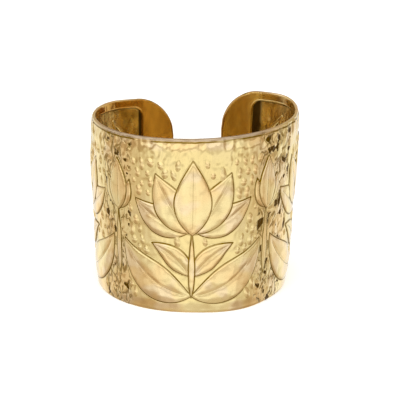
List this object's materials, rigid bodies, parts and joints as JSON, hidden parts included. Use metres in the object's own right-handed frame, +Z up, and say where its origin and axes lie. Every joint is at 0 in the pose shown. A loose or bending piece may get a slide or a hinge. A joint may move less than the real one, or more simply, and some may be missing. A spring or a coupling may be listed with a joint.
{
  "type": "cuff bangle",
  "caption": "Wide open cuff bangle in polished brass with a raised ornament of flowers and leaves on a dotted ground and a plain sunk-panel inside, worn on the wrist.",
  "frame": {"origin": "middle of the cuff's footprint, on the surface it stands on", "axes": "+X to the right along the cuff's width as the front is looked at, +Y from the front to the gap at the back, +Z up along the wrist axis"},
  "size_m": [0.0642, 0.0523, 0.056],
  "materials": {
    "brass": "polished pale gold brass, fine scratches, brown patina in the chased lines, amber inside"
  },
  "bodies": {
    "root": {"cuff": "brass"}
  },
  "joints": []
}
